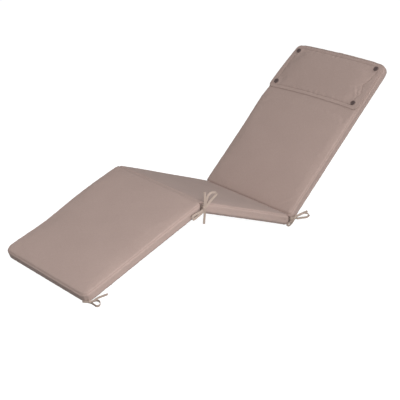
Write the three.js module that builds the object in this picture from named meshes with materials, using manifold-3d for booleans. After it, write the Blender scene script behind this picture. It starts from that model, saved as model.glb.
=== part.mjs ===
// A folding steamer chair cushion, standing in the shape it takes on the chair: leg, seat and back sections
// joined at a knee and a hip, a thin head pillow held by press studs, and three tape ties in bows.
// Millimetres, +X towards the tied side, +Y from foot to head, +Z up, origin on the floor at mid size.
import * as THREE from 'three';
import { mergeVertices } from 'three/addons/utils/BufferGeometryUtils.js';
import Module from 'manifold-3d';

// Driving sizes
const width = 480;
const thickness = 41;
const clearance = 0.3;
const footEdge = new THREE.Vector3(0, -754.1, 33);

// The sections from foot to head: length along the top, and tilt up from the floor in degrees
const sections = [
  { name: 'leg_panel', length: 548, tilt: 20.3 },
  { name: 'seat_panel', length: 482, tilt: -21.8 },
  { name: 'back_panel', length: 710, tilt: 43.5 },
];

// Soft edges: the roll of a free edge, the tighter roll beside a hinge, the rounded corners in plan
const freeRoll = 13;
const hingeRoll = 7;
const footCorner = 30;
const hingeCorner = 15;
const headCorner = 34;
const crown = 3.5;
const sideDrawIn = 1;
const boxingHollow = 1.4;
const headBulge = 7;
const headSkew = 5;
const coverFade = 35;

// The sewn hinge strips, the head pillow and its studs
const hingeStrip = 1.6;
const hingeInset = 9;
const pillowStart = 483;
const pillowLength = 218;
const pillowTurn = 1.1;
const pillowBow = { low: -8, head: 4 };
const pillowBorder = 2.6;
const pillowBorderRoll = 1.2;
const pillowCorner = 20;
const pillowFill = 12;
const pillowSlope = { reach: 50, power: 2.2 };
const underPillow = 8;
const studRadius = 10;
const studHeight = 4;
const flatRound = { from: 3.5, to: 8 };

// The flat tie tape
const tapeWidth = 8;
const tapeThickness = 1.4;

// The grid of the cloth bodies: its spacing, and the row beside a free end
const gridSpacing = 42;
const freeRow = 20;

// Cover cloth, tie tape and stud colours
const clothColour = 0xa79287;
const tapeColour = 0xa8937f;
const studColour = 0x63504e;

// Where the filling sits uneven, by section, in its own frame
const unevenness = {
  leg_panel: [
    { across: -240, along: 20, reach: 70, rise: 2 },
    { across: -240, along: 185, reach: 80, rise: -5 },
    { across: -240, along: 400, reach: 120, rise: 4.5 },
    { across: 60, along: 300, reach: 150, rise: 1.5 },
    { across: 205, along: 520, reach: 45, rise: -2 },
    { across: 170, along: 120, reach: 90, rise: 1 },
  ],
  seat_panel: [
    { across: 200, along: 30, reach: 45, rise: -2 },
    { across: -120, along: 150, reach: 120, rise: 1.5 },
    { across: 205, along: 455, reach: 50, rise: -2 },
  ],
  back_panel: [
    { across: 200, along: 30, reach: 50, rise: -2 },
    { across: -240, along: 420, reach: 85, rise: 4.5 },
    { across: 120, along: 320, reach: 110, rise: 1 },
  ],
  head_pillow: [
    { across: 180, along: 62, reach: 24, rise: -3 },
    { across: 140, along: 70, reach: 30, rise: 1.5 },
    { across: 205, along: 110, reach: 20, rise: -3 },
    { across: -185, along: 60, reach: 26, rise: -2 },
  ],
};

// Where a long side stands out (or in, below zero) by section: near is the tied side
const sideWaves = {
  leg_panel: [],
  seat_panel: [],
  back_panel: [
    { side: 'far', along: 710, reach: 95, out: -14 },
  ],
};

// How far the pillow's sides stand in from the back's, from its lower edge to its head edge
const pillowSides = { near: { low: 5, head: -1, power: 1 }, far: { low: 3.6, head: 27.5, power: 1.5 } };

// The studs by place on the pillow: across the width and along from its lower edge
const studs = [
  { name: 'stud_near_low', across: 203, along: 28 },
  { name: 'stud_near_top', across: 210.5, along: 194.5 },
  { name: 'stud_far_low', across: -208.5, along: 31.5 },
  { name: 'stud_far_top', across: -193.5, along: 190.5 },
];

const radians = THREE.MathUtils.degToRad;
const mix = THREE.MathUtils.lerp;
const smooth = THREE.MathUtils.smoothstep;
const cushion = new THREE.Group();

function piece(name, geometry, color, roughness, parent) {
  const mesh = new THREE.Mesh(geometry, new THREE.MeshStandardMaterial({ color, roughness, metalness: 0 }));
  mesh.name = name;
  parent.add(mesh);
  return mesh;
}

// A closed box whose grid lines stand at the given coordinates, as shared vertices
function gridBox(xs, ys, zs) {
  const counts = [xs.length - 1, ys.length - 1, zs.length - 1];
  const box = new THREE.BoxGeometry(...counts, ...counts);
  box.deleteAttribute('normal');
  box.deleteAttribute('uv');
  const merged = mergeVertices(box, 1e-3);
  const position = merged.attributes.position;
  for (let i = 0; i < position.count; i += 1) {
    position.setXYZ(
      i,
      xs[Math.round(position.getX(i) + counts[0] / 2)],
      ys[Math.round(position.getY(i) + counts[1] / 2)],
      zs[Math.round(position.getZ(i) + counts[2] / 2)],
    );
  }
  return merged;
}

// Grid lines across a length: rows close to each end, and even rows between them
function rows(length, startRows, endRows, spacing) {
  const from = startRows.at(-1);
  const to = length - endRows.at(-1);
  const count = Math.max(1, Math.round((to - from) / spacing));
  const between = Array.from({ length: count - 1 }, (_, i) => mix(from, to, (i + 1) / count));
  return [...startRows, ...between, ...endRows.map((inset) => length - inset).reverse()];
}

// How far a rolled edge stands in and down, at a distance from the sharp edge along the face
function rollOver(distance, nominal, radius) {
  const angle = Math.atan(1 - Math.min(distance, nominal) / nominal);
  return { inset: radius * (1 - Math.sin(angle)), drop: radius * (1 - Math.cos(angle)) };
}

// A soft bump or dent: full at its centre, fading over its reach
function swell(x, y, { across, along, reach, rise }) {
  return rise * Math.exp(-(((x - across) ** 2 + (y - along) ** 2) / reach ** 2));
}

// One filled section: rolled edges, rounded corners, ends leaning to their mitres, a lifted top and a
// flat underside. Its frame has x across, y along from the start, and z = 0 at the edge of the top.
function filledSection({ length, depth, roll, hollow, start, end, sideRows, spacing, lift, pull }) {
  const half = width / 2;
  const arcRows = [0, 0.59 * roll, roll];
  const xs = rows(width, [...arcRows, ...sideRows], [...arcRows, ...sideRows], spacing);
  const ys = rows(length, [...arcRows, ...start.rows], [...arcRows, ...end.rows], spacing);
  const zs = rows(depth, arcRows, arcRows, depth / 2 - roll);
  const geometry = gridBox(xs.map((x) => x - half), ys, zs.map((z) => z - depth));
  const position = geometry.attributes.position;
  for (let i = 0; i < position.count; i += 1) {
    const [px, py, pz] = [position.getX(i), position.getY(i), position.getZ(i)];
    const side = Math.sign(px) || 1;
    const nearStart = py < length / 2;
    const edge = nearStart ? start : end;
    const dx = half - Math.abs(px);
    const dy = nearStart ? py : length - py;
    const inCorner = dx < edge.corner && dy < edge.corner;
    const straight = dx < dy ? 0 : Math.PI / 2;
    const turn = inCorner ? Math.atan2(edge.corner - dy, edge.corner - dx) : straight;
    const share = smooth(turn / (Math.PI / 2), 0, 1);
    const radius = mix(roll, edge.roll, share);
    const fromEdge = Math.min(dx, dy);
    const fromFace = Math.min(-pz, depth + pz);
    const onFace = fromFace < 1e-6;

    // The profile: over the rolled edge on a face, or down the boxing on a side
    let inset = fromEdge;
    let drop = 0;
    if (onFace && fromEdge < roll) {
      ({ inset, drop } = rollOver(fromEdge, roll, radius));
    } else if (onFace && fromEdge < edge.corner) {
      inset = mix(radius, edge.corner, (fromEdge - roll) / (edge.corner - roll));
    } else if (!onFace && fromFace < roll) {
      ({ inset: drop, drop: inset } = rollOver(fromFace, roll, radius));
    } else if (!onFace) {
      inset = mix(hollow, edge.hollow, share) * smooth(fromFace, roll, depth / 2);
      drop = mix(radius, depth / 2, (fromFace - roll) / (depth / 2 - roll));
    }

    // The plan: round the corner, or straight along a side or an end
    let x = Math.abs(px);
    let y = dy;
    if (inCorner) {
      x = half - edge.corner + (edge.corner - inset) * Math.cos(turn);
      y = edge.corner - (edge.corner - inset) * Math.sin(turn);
    } else if (dx < dy) {
      x = half - inset;
    } else {
      y = inset;
    }
    x = side * (x - pull(side, py));
    y = nearStart ? y : length - y;
    const level = -pz <= depth + pz ? -drop : drop - depth;
    const z = level + lift(x, y) * (1 + level / depth);
    const bow = ({ bulge, skew }) => bulge * (1 - (x / half) ** 2) + skew * x / half;
    const low = start.gap - bow(start) - z * start.lean;
    const high = length + bow(end) - end.gap - z * end.lean;
    position.setXYZ(i, x, mix(low, high, y / length), z);
  }
  return geometry;
}

// What lies under the floor is pressed flat against it
function pressFlat(geometry, group) {
  const position = geometry.attributes.position;
  const tilt = group.rotation.x;
  for (let i = 0; i < position.count; i += 1) {
    const [y, z] = [position.getY(i), position.getZ(i)];
    const height = group.position.z + y * Math.sin(tilt) + z * Math.cos(tilt);
    if (height < 0) {
      position.setY(i, y - height * Math.sin(tilt));
      position.setZ(i, z - height * Math.cos(tilt));
    }
  }
}

// The chain of hinge points along the top, each with a group that carries the section beyond it
const joints = [footEdge];
const groups = sections.map(({ length, tilt }, index) => {
  const group = new THREE.Group();
  group.position.copy(joints[index]);
  group.rotation.x = radians(tilt);
  joints.push(new THREE.Vector3(0, length, 0).applyAxisAngle(new THREE.Vector3(1, 0, 0), radians(tilt))
    .add(joints[index]));
  cushion.add(group);
  return group;
});

sections.forEach(({ name, length, tilt }, index) => {
  const before = sections[index - 1];
  const after = sections[index + 1];
  const hinged = (turn) => ({
    roll: hingeRoll,
    corner: hingeCorner,
    hollow: 0,
    gap: (hingeStrip / 2 + clearance) / Math.cos(turn / 2),
    lean: Math.tan(turn / 2),
    rows: [hingeCorner],
    bulge: 0,
    skew: 0,
  });
  const free = (corner, inner, bulge, skew) => ({
    roll: freeRoll, corner, hollow: boxingHollow, gap: 0, lean: 0, rows: [freeRow, corner, ...inner], bulge, skew,
  });
  const coveredRows = [0.3, 0.5, 0.7, 0.9].map((part) => part * (length - pillowStart));
  const headRows = [...coveredRows, length - pillowStart + underPillow];
  const start = before ? hinged(radians(before.tilt - tilt)) : free(footCorner, [], 0, 0);
  const end = after ? hinged(radians(after.tilt - tilt)) : free(headCorner, headRows, headBulge, headSkew);
  const filled = after ? length : pillowStart - underPillow;
  const lift = (x, y) => {
    const across = Math.max(0, 1 - (2 * x / width) ** 4);
    const along = Math.max(0, 1 - (2 * y / filled - 1) ** 4);
    const uneven = unevenness[name].reduce((sum, bump) => sum + swell(x, y, bump), 0);
    return crown * across * along + uneven * (after ? 1 : smooth(filled - y, 0, coverFade));
  };
  const geometry = filledSection({
    length,
    depth: thickness,
    roll: freeRoll,
    hollow: boxingHollow,
    start,
    end,
    sideRows: [hingeCorner, footCorner],
    spacing: gridSpacing,
    lift,
    pull: (side, y) => sideWaves[name].filter((wave) => wave.side === (side > 0 ? 'near' : 'far'))
      .reduce((sum, { along, reach, out }) => sum - out * Math.exp(-(((y - along) / reach) ** 2)), 0)
      + sideDrawIn * Math.sin(Math.PI * y / length) * (side > 0 || !before ? 1 : 0.3),
  });
  pressFlat(geometry, groups[index]);
  piece(name, geometry, clothColour, 0.85, groups[index]);
});

// A cloth strip stands in each mitre, where the covers of two sections are sewn together
['knee_hinge', 'hip_hinge'].forEach((name, index) => {
  const [before, after] = [sections[index], sections[index + 1]];
  const mitreDepth = thickness / Math.cos(radians(after.tilt - before.tilt) / 2);
  const strip = new THREE.BoxGeometry(width - 2 * hingeInset, hingeStrip, mitreDepth - 2 * hingeInset);
  const hinge = new THREE.Group();
  hinge.position.copy(joints[index + 1]);
  hinge.rotation.x = radians(before.tilt + after.tilt) / 2;
  cushion.add(hinge);
  piece(name, strip, clothColour, 0.85, hinge).position.z = -mitreDepth / 2;
});

// The head pillow: a flat border all round a thin fill, laid on the head end of the back
const pillow = new THREE.Group();
pillow.position.set(0, pillowStart, clearance + pillowBorder);
pillow.rotation.z = radians(pillowTurn);
groups[2].add(pillow);
const border = (flat, bulge) => ({
  roll: pillowBorderRoll, corner: pillowCorner, hollow: 0, gap: 0, lean: 0, rows: [pillowCorner, ...flat],
  bulge, skew: 0,
});
const borderWidths = { side: 24, low: 20, head: 14 };
piece('head_pillow', filledSection({
  length: pillowLength,
  depth: pillowBorder,
  roll: pillowBorderRoll,
  hollow: 0,
  start: border([43, 64], pillowBow.low),
  end: border([38, 60], pillowBow.head),
  sideRows: [pillowCorner, 25, 46, 68],
  spacing: gridSpacing,
  lift: (x, y) => {
    const inside = Math.min(
      width / 2 - borderWidths.side - Math.abs(x),
      y - borderWidths.low,
      pillowLength - borderWidths.head - y,
    );
    const rest = 1 - THREE.MathUtils.clamp(inside / pillowSlope.reach, 0, 1);
    const fill = pillowFill * (1 - rest ** pillowSlope.power);
    const uneven = unevenness.head_pillow.reduce((sum, bump) => sum + swell(x, y, bump), 0);
    const free = studs.reduce((least, { across, along }) => Math.min(
      least,
      smooth(Math.hypot(x - across, y - along), flatRound.from * studRadius, flatRound.to * studRadius),
    ), 1);
    return free * (fill + uneven * THREE.MathUtils.clamp(inside / 20, 0, 1));
  },
  pull: (side, y) => {
    const { low, head, power } = side > 0 ? pillowSides.near : pillowSides.far;
    return mix(low, head, (y / pillowLength) ** power);
  },
}), clothColour, 0.85, pillow);

// Domed stud caps on the pillow's border
const capProfile = [
  [0, 0], [studRadius - 0.8, 0], [studRadius, 0.7], [studRadius, 1.5],
  [0.75 * studRadius, 0.75 * studHeight], [0.4 * studRadius, 0.95 * studHeight], [0, studHeight],
].map(([radius, height]) => new THREE.Vector2(radius, height));
for (const { name, across, along } of studs) {
  const cap = new THREE.LatheGeometry(capProfile, 16);
  cap.rotateX(Math.PI / 2);
  piece(name, cap, studColour, 0.5, pillow).position.set(across, along, clearance);
}

// The ties: a tape's root leaves the sewn strip or the boxing, passes the knot, turns back through it as a
// loop, and ends as a tail. Each route is a list of places in the cushion's own frame, and the tape's width
// lies along its broad direction.
const leaning = [-0.6, -0.2, 0.77];
const sideways = [-1, 0, 0];
const upright = [0, 0, 1];
const facing = [-0.67, -0.74, 0];
const ties = {
  knee_tie: {
    knot: { centre: [249, -239.2, 203], half: [5.5, 7.5, 8] },
    tapes: [
      { broad: upright, route: [[231.6, -240.4, 206], [240, -240.2, 205.5], [249, -239.7, 204]] },
      { broad: upright, route: [[231.6, -240.5, 195.5], [240, -240.4, 196], [249, -239.9, 198]] },
      {
        broad: leaning,
        route: [
          [249.5, -236.2, 203], [250, -227.2, 211.5], [250, -212.2, 221.5], [250, -198.7, 230.5],
          [249.5, -186.2, 237.5], [249, -180.7, 241], [248.5, -183.2, 245.5], [248, -191.2, 249],
          [248, -202.2, 251.5], [247.5, -212.2, 249], [247.5, -220.2, 243], [247.5, -225.7, 234],
          [248, -231.2, 222], [248.5, -234.7, 211], [249, -237.7, 204],
        ],
      },
      {
        broad: facing,
        route: [
          [250.5, -238.7, 198], [251, -238.2, 188], [251, -238.7, 177], [251, -239.7, 166],
          [250.5, -240.4, 155], [250.5, -240.9, 144],
        ],
      },
      {
        broad: facing,
        route: [
          [249, -238.7, 206], [248.5, -237.2, 216], [247.5, -235.2, 227], [246, -233.7, 238], [244.5, -232.7, 249],
          [243.5, -232.2, 259.5],
        ],
      },
      {
        broad: leaning,
        route: [
          [249, -242.2, 200], [247.5, -251.2, 195], [247, -263.2, 191.5], [246.5, -277.2, 188.5], [246, -287.2, 185.5],
          [246, -291.7, 180], [246, -290.2, 173.5], [246, -281.7, 172.8], [246, -270.2, 177], [246.5, -258.2, 182],
          [247.5, -247.2, 188], [249, -241.7, 196],
        ],
      },
    ],
  },
  hip_tie: {
    knot: { centre: [248, 225.9, 31.5], half: [5.5, 8, 7] },
    tapes: [
      { broad: upright, route: [[232.3, 211.3, 28.5], [240, 210.8, 30.5], [246, 216.4, 31], [248, 223.4, 31.5]] },
      { broad: upright, route: [[233, 212.6, 20.2], [240, 212.2, 24], [246, 217.4, 26.5], [248, 223.4, 30]] },
      {
        broad: leaning,
        route: [
          [248.5, 229.4, 29.5], [247.5, 238.4, 24.5], [247, 251.4, 21.5], [246.5, 268.4, 18.5], [246, 286.4, 14.3],
          [246, 299.4, 13.5], [246, 306.6, 17], [246, 305.8, 21.8], [246, 296.8, 28.5], [246, 280.9, 34.8],
          [246.5, 262.9, 36.7], [247, 246.4, 35.5], [248, 234.4, 33.5],
        ],
      },
      {
        broad: leaning,
        route: [[248, 230.4, 34.5], [247, 240.9, 34], [242, 263.9, 32.3], [237.5, 286.4, 31.5], [233, 311.9, 29]],
      },
      {
        broad: sideways,
        route: [
          [248, 222.4, 27], [247.5, 213.4, 16.3], [247, 203.8, 8.8], [247, 192.8, 6], [246.5, 186.8, 9],
          [246.5, 190.8, 14.8], [247, 201.8, 19.6], [247.5, 213.4, 24.8], [248, 220.9, 29],
        ],
      },
    ],
  },
  foot_tie: {
    knot: { centre: [240.3, -732.9, 8.3], half: [5.5, 6, 6] },
    tapes: [
      { broad: upright, route: [[238, -731.6, 13], [238.7, -732.4, 12], [240.3, -732.9, 10]] },
      {
        broad: upright,
        route: [
          [241, -732.4, 6], [247, -729.4, 4.9], [255, -729.1, 4.5], [264.7, -729.7, 4.4], [272.2, -730.4, 4.4],
          [276.2, -726.4, 4.4], [275.7, -719.4, 4.4], [270.2, -711.4, 4.4], [260.2, -704.9, 4.4],
          [249.7, -702.8, 4.4], [242.2, -705.9, 4.4], [240, -713.4, 4.4], [239.8, -722.4, 4.8], [240.2, -728.4, 6],
        ],
      },
      {
        broad: upright,
        route: [
          [241, -730.2, 6.5], [240.5, -719.7, 5], [237.5, -709.7, 5], [233.3, -692.7, 5.2], [233, -675.2, 5.4],
          [234, -653.2, 5.6],
        ],
      },
      { broad: upright, route: [[239.3, -735.4, 8], [235.3, -740.9, 8.3], [230.3, -745.9, 8.6], [224.3, -749.9, 8.6]] },
    ],
  },
};

// A smooth route for a flat tape, its width held as near as it can be to one direction
class TapeRoute extends THREE.CatmullRomCurve3 {
  constructor(route, broad) {
    super(route.map((point) => new THREE.Vector3(...point)), false, 'centripetal');
    this.broad = new THREE.Vector3(...broad);
  }

  computeFrenetFrames(segments) {
    const frames = { tangents: [], normals: [], binormals: [] };
    for (let i = 0; i <= segments; i += 1) {
      const tangent = this.getTangentAt(i / segments);
      const normal = this.broad.clone().addScaledVector(tangent, -this.broad.dot(tangent)).normalize();
      frames.tangents.push(tangent);
      frames.normals.push(normal);
      frames.binormals.push(new THREE.Vector3().crossVectors(tangent, normal));
    }
    return frames;
  }
}

const tapeSection = new THREE.Shape([
  [-tapeWidth / 2, 0], [-tapeWidth / 2 + tapeThickness, -tapeThickness / 2],
  [tapeWidth / 2 - tapeThickness, -tapeThickness / 2], [tapeWidth / 2, 0],
  [tapeWidth / 2 - tapeThickness, tapeThickness / 2], [-tapeWidth / 2 + tapeThickness, tapeThickness / 2],
].map(([x, y]) => new THREE.Vector2(x, y)));

function tape({ route, broad }) {
  const path = new TapeRoute(route, broad);
  const steps = Math.max(3, Math.round(path.getLength() / tapeWidth));
  return new THREE.ExtrudeGeometry(tapeSection, { steps, extrudePath: path, bevelEnabled: false });
}

function knotBody({ centre, half }) {
  return new THREE.SphereGeometry(1, 10, 8).scale(...half).translate(...centre);
}

// Joining closed meshes into one solid
const wasm = await Module();
wasm.setup();

function solid(geometry) {
  const bare = geometry.clone();
  bare.deleteAttribute('normal');
  bare.deleteAttribute('uv');
  const merged = mergeVertices(bare, 1e-4);
  return new wasm.Manifold(new wasm.Mesh({
    numProp: 3,
    vertProperties: new Float32Array(merged.attributes.position.array),
    triVerts: new Uint32Array(merged.index.array),
  }));
}

function joined(geometries) {
  const mesh = geometries.map(solid).reduce((whole, next) => whole.add(next)).getMesh();
  const geometry = new THREE.BufferGeometry();
  geometry.setAttribute('position', new THREE.BufferAttribute(mesh.vertProperties, 3));
  geometry.setIndex(new THREE.BufferAttribute(mesh.triVerts, 1));
  return geometry;
}

for (const [name, { knot, tapes }] of Object.entries(ties)) {
  piece(name, joined([knotBody(knot), ...tapes.map(tape)]), tapeColour, 0.9, cushion);
}

export default cushion;
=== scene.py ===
# %% [markdown]
# # A steamer chair cushion
#
# The cushion has three boxed foam sections, for the legs, the seat and the back. They are sewn together
# at a knee and a hip, so that it follows the chair. A thin head pillow is held to the back by four press
# studs, and flat tapes at the foot, knee and hip tie it to the frame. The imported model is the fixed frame
# here: it gives every piece its place and size, and this script gives the pieces their cloth and folds.

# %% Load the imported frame
import math

import bmesh
import bpy
import numpy as np
from mathutils import Matrix, Vector


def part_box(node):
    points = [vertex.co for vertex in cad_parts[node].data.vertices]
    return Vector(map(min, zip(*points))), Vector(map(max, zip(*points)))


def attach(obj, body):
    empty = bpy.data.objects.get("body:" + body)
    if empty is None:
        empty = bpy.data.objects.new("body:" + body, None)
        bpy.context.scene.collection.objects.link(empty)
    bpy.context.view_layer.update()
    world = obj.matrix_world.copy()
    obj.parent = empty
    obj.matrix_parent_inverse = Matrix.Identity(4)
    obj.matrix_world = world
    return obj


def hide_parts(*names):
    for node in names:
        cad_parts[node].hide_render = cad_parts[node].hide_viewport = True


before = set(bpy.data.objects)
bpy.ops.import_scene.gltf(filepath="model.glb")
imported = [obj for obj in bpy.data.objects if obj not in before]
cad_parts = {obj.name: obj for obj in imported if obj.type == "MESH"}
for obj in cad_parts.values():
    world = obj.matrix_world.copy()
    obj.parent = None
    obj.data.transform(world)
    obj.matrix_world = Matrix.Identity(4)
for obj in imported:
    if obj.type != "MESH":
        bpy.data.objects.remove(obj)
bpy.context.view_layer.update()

# %% [markdown]
# ## The camera
#
# The camera stands where the photographer stood: low, in front and to the tied side, with a long lens.
# Its three axes are worked out from the direction it looks in and a small roll, and laid into its matrix.

# %% Place the camera
photo_side = 400
look_turn = math.radians(47.965)
look_down = math.radians(22.963)
roll = math.radians(0.3925)
lens = 97.74
eye = (2.80435, -2.56046, 1.69447)

ahead = Vector((
    -math.sin(look_turn) * math.cos(look_down),
    math.cos(look_turn) * math.cos(look_down),
    -math.sin(look_down),
))
level_right = Vector((math.cos(look_turn), math.sin(look_turn), 0))
level_up = level_right.cross(ahead)
right = level_right * math.cos(roll) + level_up * math.sin(roll)
up = level_up * math.cos(roll) - level_right * math.sin(roll)

camera_data = bpy.data.cameras.new("camera")
camera_data.lens = lens
camera_data.sensor_width = 36
camera_data.shift_x = -0.5 / photo_side
camera_data.shift_y = 0.5 / photo_side
camera = bpy.data.objects.new("camera", camera_data)
bpy.context.scene.collection.objects.link(camera)
camera.matrix_world = Matrix.Translation(eye) @ Matrix((
    (right.x, up.x, -ahead.x),
    (right.y, up.y, -ahead.y),
    (right.z, up.z, -ahead.z),
)).to_4x4()
bpy.context.scene.camera = camera
print("camera looks", [round(x, 3) for x in ahead])

# %% [markdown]
# ## The sections' own frames
#
# Each section lies on a slope, so its folds and its weave are easiest to describe in a frame of its own:
# x across the cushion, y along the section from its lower joint in the photo, and z out of its top face.

# %% Name each section's joint, tilt and length
width = 0.480
thickness = 0.041
edge_roll = 0.013
seam_inset = edge_roll * (1 - math.sqrt(0.5))
foot_edge = Vector((0, -0.7541, 0.033))
sections = {
    "leg_panel": {"length": 0.548, "tilt": 20.3},
    "seat_panel": {"length": 0.482, "tilt": -21.8},
    "back_panel": {"length": 0.710, "tilt": 43.5},
}
joint = foot_edge.copy()
for section in sections.values():
    turn = Matrix.Rotation(math.radians(section["tilt"]), 3, "X")
    section["frame"] = Matrix.Translation(joint) @ turn.to_4x4()
    joint = joint + turn @ Vector((0, section["length"], 0))
    section["end"] = joint.copy()
print("head edge", [round(x, 3) for x in joint])

# %% Move points between the frames
def points_of(mesh):
    flat = np.empty(len(mesh.vertices) * 3, np.float32)
    mesh.vertices.foreach_get("co", flat)
    return flat.reshape(-1, 3).astype(float)


def set_points(mesh, points):
    mesh.vertices.foreach_set("co", np.asarray(points, np.float32).ravel())
    mesh.update()


def moved(points, matrix):
    m = np.array(matrix, float)
    return points @ m[:3, :3].T + m[:3, 3]


def normals_of(mesh):
    flat = np.empty(len(mesh.vertices) * 3, np.float32)
    mesh.vertices.foreach_get("normal", flat)
    return flat.reshape(-1, 3).astype(float)


def store(mesh, name, values):
    attribute = mesh.attributes.get(name) or mesh.attributes.new(name, "FLOAT", "POINT")
    attribute.data.foreach_set("value", np.asarray(values, np.float32))


def recall(mesh, name):
    values = np.empty(len(mesh.vertices), np.float32)
    mesh.attributes[name].data.foreach_get("value", values)
    return values.astype(float)


def ridge(offset, height, reach, beside=0.0):
    """A smooth ridge along a line, or with a negative height a groove."""
    return height * np.exp(-(((offset - beside) / reach) ** 2))


# %% [markdown]
# ## The ties
#
# Each tie is two flat tapes, sewn into the side of the cushion and tied in a bow. A tape leaves its seam,
# passes the knot, goes out and back as a loop, and ends as a tail. The routes are the ones that the solids
# follow. A tape is a flat strip of the grid operator laid along its route, its width held near one
# direction, and it gets its thickness from Solidify, so the weave can read how far along it is.

# %% Give each tape its route
leaning = Vector((-0.6, -0.2, 0.77)).normalized()
sideways = Vector((-1, 0, 0))
upright = Vector((0, 0, 1))
facing = Vector((-0.67, -0.74, 0)).normalized()
tape_width = 0.008
tape_thickness = 0.0014

tapes = {
    "knee_tape_upper": [
        (upright, [(0.2316, -0.2404, 0.206), (0.24, -0.2402, 0.2055), (0.247, -0.2392, 0.2045)]),
        (leaning, [
            (0.2495, -0.2362, 0.205), (0.25, -0.2272, 0.2115), (0.25, -0.2122, 0.2215),
            (0.25, -0.1987, 0.2305), (0.2495, -0.1862, 0.2375), (0.249, -0.1807, 0.241),
            (0.2485, -0.1832, 0.2455), (0.248, -0.1912, 0.249), (0.248, -0.2022, 0.2515),
            (0.2475, -0.2122, 0.249), (0.2475, -0.2202, 0.243), (0.2475, -0.2257, 0.234),
            (0.248, -0.2312, 0.222), (0.2485, -0.2347, 0.211),
        ]),
        (facing, [
            (0.2495, -0.238, 0.204), (0.2505, -0.2387, 0.198), (0.251, -0.2382, 0.188),
            (0.251, -0.2387, 0.177), (0.251, -0.2397, 0.166), (0.2505, -0.2404, 0.155),
            (0.2505, -0.2409, 0.144),
        ]),
    ],
    "knee_tape_lower": [
        (upright, [(0.2316, -0.2405, 0.1955), (0.24, -0.2404, 0.196), (0.2475, -0.241, 0.198)]),
        (leaning, [
            (0.2485, -0.2425, 0.1985), (0.2475, -0.2512, 0.195), (0.247, -0.2632, 0.1915),
            (0.2465, -0.2772, 0.1885), (0.246, -0.2872, 0.1855), (0.246, -0.2917, 0.18),
            (0.246, -0.2902, 0.1735), (0.246, -0.2817, 0.1728), (0.246, -0.2702, 0.177),
            (0.2465, -0.2582, 0.182), (0.2475, -0.2472, 0.188), (0.249, -0.2417, 0.196),
        ]),
        (facing, [
            (0.249, -0.2387, 0.206), (0.2485, -0.2372, 0.216), (0.2475, -0.2352, 0.227),
            (0.246, -0.2337, 0.238), (0.2445, -0.2327, 0.249), (0.2435, -0.2322, 0.2595),
        ]),
    ],
    "hip_tape_upper": [
        (upright, [(0.2323, 0.2113, 0.0285), (0.24, 0.2108, 0.0305), (0.246, 0.2164, 0.031)]),
        (leaning, [
            (0.248, 0.2234, 0.031), (0.2485, 0.2294, 0.0295), (0.2475, 0.2384, 0.0245),
            (0.247, 0.2514, 0.0215), (0.2465, 0.2684, 0.0185), (0.246, 0.2864, 0.0143),
            (0.246, 0.2994, 0.0135), (0.246, 0.3066, 0.017), (0.246, 0.3058, 0.0218),
            (0.246, 0.2968, 0.0285), (0.246, 0.2809, 0.0348), (0.2465, 0.2629, 0.0367),
            (0.247, 0.2464, 0.0355), (0.248, 0.2344, 0.0335), (0.2485, 0.2275, 0.0328),
            (0.248, 0.2265, 0.0345), (0.248, 0.2304, 0.0352), (0.2468, 0.2409, 0.0345),
            (0.242, 0.2639, 0.0323), (0.2375, 0.2864, 0.0315), (0.233, 0.3119, 0.029),
        ]),
    ],
    "hip_tape_lower": [
        (upright, [(0.233, 0.2126, 0.0202), (0.24, 0.2122, 0.024), (0.246, 0.2174, 0.0265)]),
        (sideways, [
            (0.248, 0.2224, 0.027), (0.2475, 0.2134, 0.0163), (0.247, 0.2038, 0.0088),
            (0.247, 0.1928, 0.006), (0.2465, 0.1868, 0.009), (0.2465, 0.1908, 0.0148),
            (0.247, 0.2018, 0.0196), (0.2475, 0.2134, 0.0248), (0.248, 0.2209, 0.029),
        ]),
    ],
    "foot_tape": [
        (upright, [
            (0.238, -0.7316, 0.013), (0.2387, -0.7324, 0.0115), (0.2403, -0.7329, 0.009),
            (0.241, -0.7324, 0.006), (0.247, -0.7294, 0.0049), (0.255, -0.7291, 0.0045),
            (0.2647, -0.7297, 0.0044), (0.2722, -0.7304, 0.0044), (0.2762, -0.7264, 0.0044),
            (0.2757, -0.7194, 0.0044), (0.2702, -0.7114, 0.0044), (0.2602, -0.7049, 0.0044),
            (0.2497, -0.7028, 0.0044), (0.2422, -0.7059, 0.0044), (0.24, -0.7134, 0.0044),
            (0.2398, -0.7224, 0.0048), (0.2402, -0.7284, 0.006), (0.2412, -0.7312, 0.0072),
            (0.241, -0.7302, 0.0065), (0.2405, -0.7197, 0.005), (0.2375, -0.7097, 0.005),
            (0.2333, -0.6927, 0.0052), (0.233, -0.6752, 0.0054), (0.234, -0.6532, 0.0056),
        ]),
    ],
}
print("tapes:", len(tapes))

# %% Lay a flat strip along a smooth route
steps_between_points = 12
tape_step = 0.0025


def read_off(travelled, vectors, wanted):
    """The vectors at the wanted distances, read off between the known ones."""
    columns = [[vector[axis] for vector in vectors] for axis in range(3)]
    return [Vector([np.interp(s, travelled, column) for column in columns]) for s in wanted]


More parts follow.
